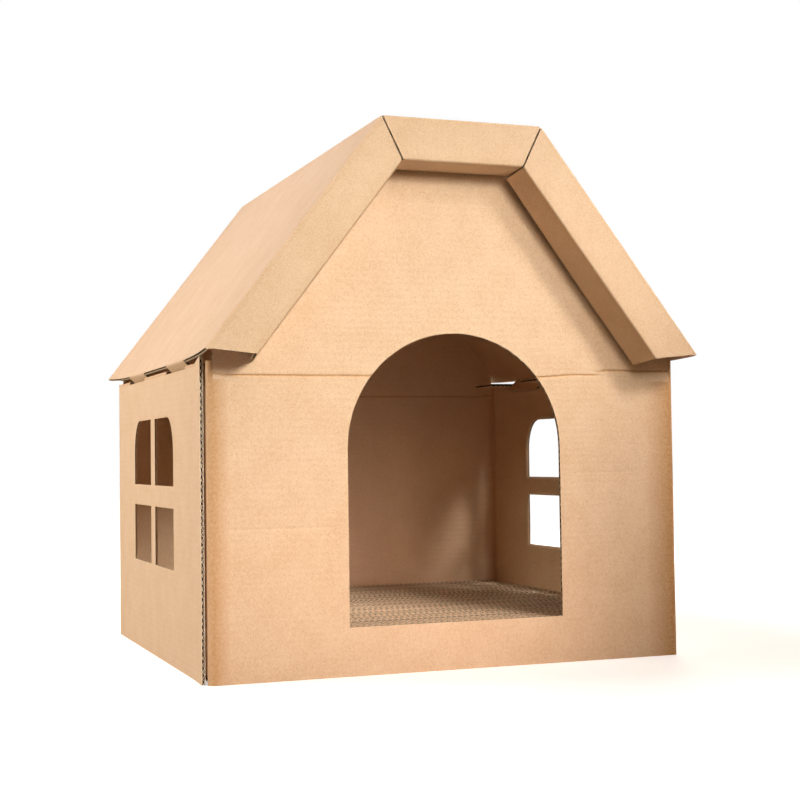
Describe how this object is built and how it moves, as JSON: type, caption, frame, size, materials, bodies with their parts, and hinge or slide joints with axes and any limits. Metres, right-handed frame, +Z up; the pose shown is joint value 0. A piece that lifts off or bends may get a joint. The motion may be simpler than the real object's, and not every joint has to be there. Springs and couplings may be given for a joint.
{
  "type": "folding corrugated cat house",
  "caption": "House folded from corrugated board with an arched doorway, paned side windows, a flat-topped roof with boxed eaves, and a scratching pad inside.",
  "frame": {"origin": "on the ground under the middle of the house", "axes": "+Z up, front with the doorway towards -Y, +X to the right as seen from the front"},
  "size_m": [0.453, 0.472, 0.472],
  "materials": {
    "kraft_board": "matt brown kraft liner with faint flute lines",
    "roof_board": "matt brown kraft liner",
    "cut_edge": "raw cut edge with open flutes",
    "scratch_board": "board on edge with open flutes upward"
  },
  "bodies": {
    "box": {"front_wall": "kraft_board", "back_wall": "kraft_board", "left_wall": "kraft_board", "right_wall": "kraft_board", "left_wall_raw_edge": "cut_edge", "glue_tab": "kraft_board", "left_eave_flap_front": "kraft_board", "left_eave_flap_middle": "kraft_board", "left_eave_flap_back": "kraft_board", "right_eave_flap_front": "kraft_board", "right_eave_flap_middle": "kraft_board", "right_eave_flap_back": "kraft_board", "front_floor_flap": "kraft_board", "back_floor_flap": "kraft_board", "left_floor_flap": "kraft_board", "right_floor_flap": "kraft_board"},
    "front_gable": {"front_gable": "kraft_board"},
    "back_gable": {"back_gable": "kraft_board"},
    "roof": {"roof_top": "roof_board"},
    "top_front_eave": {"top_front_fascia": "roof_board", "top_front_soffit": "roof_board"},
    "top_back_eave": {"top_back_fascia": "roof_board", "top_back_soffit": "roof_board"},
    "left_slope": {"left_slope": "roof_board", "left_front_tab": "roof_board", "left_back_tab": "roof_board"},
    "left_front_eave": {"left_front_fascia": "roof_board", "left_front_soffit": "roof_board"},
    "left_back_eave": {"left_back_fascia": "roof_board", "left_back_soffit": "roof_board"},
    "right_slope": {"right_slope": "roof_board", "right_front_tab": "roof_board", "right_back_tab": "roof_board"},
    "right_front_eave": {"right_front_fascia": "roof_board", "right_front_soffit": "roof_board"},
    "right_back_eave": {"right_back_fascia": "roof_board", "right_back_soffit": "roof_board"},
    "scratch_pad": {"pad_band": "kraft_board", "pad_bundle_01": "scratch_board", "pad_bundle_02": "scratch_board", "pad_bundle_03": "scratch_board", "pad_bundle_04": "scratch_board", "pad_bundle_05": "scratch_board", "pad_bundle_06": "scratch_board", "pad_bundle_07": "scratch_board", "pad_bundle_08": "scratch_board", "pad_bundle_09": "scratch_board", "pad_bundle_10": "scratch_board", "pad_bundle_11": "scratch_board", "pad_bundle_12": "scratch_board", "pad_bundle_13": "scratch_board", "pad_bundle_14": "scratch_board"}
  },
  "joints": [
    {"name": "roof_lift", "type": "slide", "parent": "box", "child": "roof", "axis": [0, 0, 1], "range_m": [0, 0.15]},
    {"name": "left_slope_fold", "type": "hinge", "parent": "roof", "child": "left_slope", "pos_m": [-0.074, 0, 0.472], "axis": [0, 1, 0], "range_deg": [0, 110]},
    {"name": "right_slope_fold", "type": "hinge", "parent": "roof", "child": "right_slope", "pos_m": [0.074, 0, 0.472], "axis": [0, -1, 0], "range_deg": [0, 110]},
    {"name": "top_front_eave_fold", "type": "hinge", "parent": "roof", "child": "top_front_eave", "pos_m": [0, -0.236, 0.472], "axis": [-1, 0, 0], "range_deg": [0, 90]},
    {"name": "top_back_eave_fold", "type": "hinge", "parent": "roof", "child": "top_back_eave", "pos_m": [0, 0.236, 0.472], "axis": [1, 0, 0], "range_deg": [0, 90]},
    {"name": "left_front_eave_fold", "type": "hinge", "parent": "left_slope", "child": "left_front_eave", "pos_m": [-0.074, -0.236, 0.472], "axis": [-0.6102, 0, -0.7923], "range_deg": [0, 90]},
    {"name": "left_back_eave_fold", "type": "hinge", "parent": "left_slope", "child": "left_back_eave", "pos_m": [-0.074, 0.236, 0.472], "axis": [0.6102, 0, 0.7923], "range_deg": [0, 90]},
    {"name": "right_front_eave_fold", "type": "hinge", "parent": "right_slope", "child": "right_front_eave", "pos_m": [0.074, -0.236, 0.472], "axis": [-0.6102, 0, 0.7923], "range_deg": [0, 90]},
    {"name": "right_back_eave_fold", "type": "hinge", "parent": "right_slope", "child": "right_back_eave", "pos_m": [0.074, 0.236, 0.472], "axis": [0.6102, 0, -0.7923], "range_deg": [0, 90]},
    {"name": "front_gable_fold", "type": "hinge", "parent": "box", "child": "front_gable", "pos_m": [0, -0.199, 0.25415], "axis": [-1, 0, 0], "range_deg": [0, 60]},
    {"name": "back_gable_fold", "type": "hinge", "parent": "box", "child": "back_gable", "pos_m": [0, 0.199, 0.25415], "axis": [1, 0, 0], "range_deg": [0, 60]},
    {"name": "pad_lift", "type": "slide", "parent": "box", "child": "scratch_pad", "axis": [0, 0, 1], "range_m": [0, 0.2]}
  ]
}
